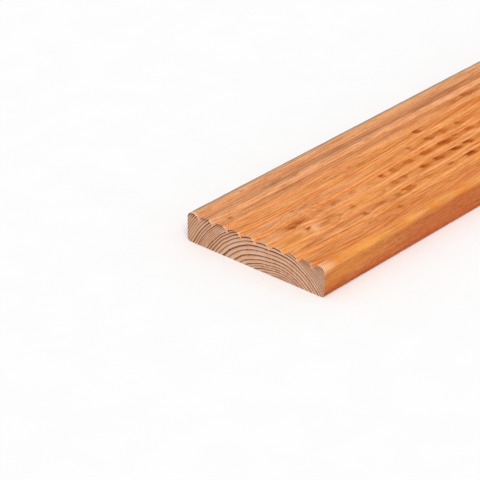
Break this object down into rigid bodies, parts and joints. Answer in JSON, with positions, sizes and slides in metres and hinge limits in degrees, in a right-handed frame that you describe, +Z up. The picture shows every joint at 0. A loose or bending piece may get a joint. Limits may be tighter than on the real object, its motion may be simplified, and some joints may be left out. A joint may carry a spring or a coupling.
{
  "type": "decking board",
  "caption": "Softwood decking board: one planed plank with V grooves along its walking face, rounded long edges, a plain underside and square sawn ends.",
  "frame": {"origin": "middle of the underside, which is the bottom centre of the bounding box", "axes": "+X along the board, +Y across it, +Z up through its thickness to the grooved walking face; the sawn end that the picture shows faces -X, and the side edge that it shows faces -Y"},
  "size_m": [2, 0.145, 0.027],
  "materials": {
    "timber": "planed bare softwood, unfinished"
  },
  "bodies": {
    "root": {"deck_board": "timber"}
  },
  "joints": []
}
